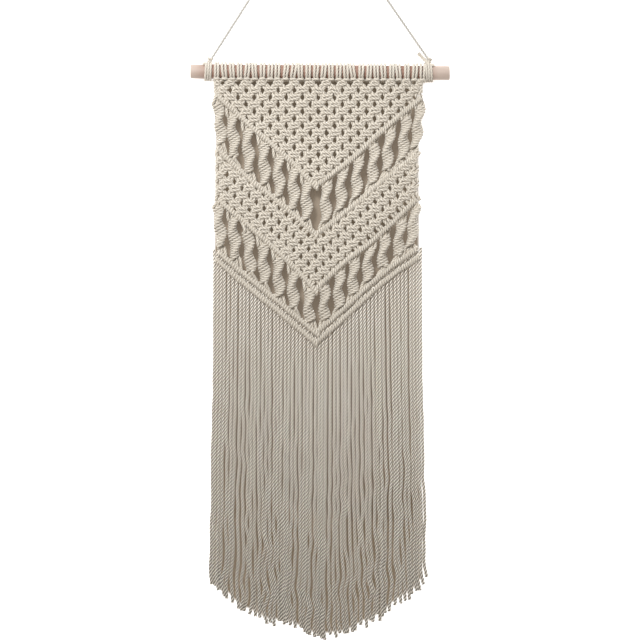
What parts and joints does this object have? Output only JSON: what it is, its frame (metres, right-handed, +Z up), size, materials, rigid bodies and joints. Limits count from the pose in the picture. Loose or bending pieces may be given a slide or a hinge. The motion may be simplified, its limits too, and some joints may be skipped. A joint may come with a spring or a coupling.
{
  "type": "macrame wall hanging on a wooden dowel",
  "caption": "Macrame wall hanging: knotted cotton cord panel with net, twisted columns and V-shaped bars, long pointed fringe, hung by a cord from a wooden dowel.",
  "frame": {"origin": "where the nail carries the hanging cord, under the bend at its top", "axes": "+X to the right as seen from the front, +Y towards the wall, so the front faces -Y, +Z up"},
  "size_m": [0.296, 0.0242, 0.8401],
  "materials": {
    "beech_dowel": "sanded, unvarnished",
    "cotton_cord": "three-ply twisted cotton, unbleached",
    "hanging_cord": "three-ply twisted cotton, unbleached"
  },
  "bodies": {
    "root": {"rod": "beech_dowel", "lark_head_row": "cotton_cord", "knotted_panel": "cotton_cord", "fringe": "cotton_cord", "tie_left": "hanging_cord", "tie_right": "hanging_cord", "hanging_cord": "hanging_cord"}
  },
  "joints": []
}
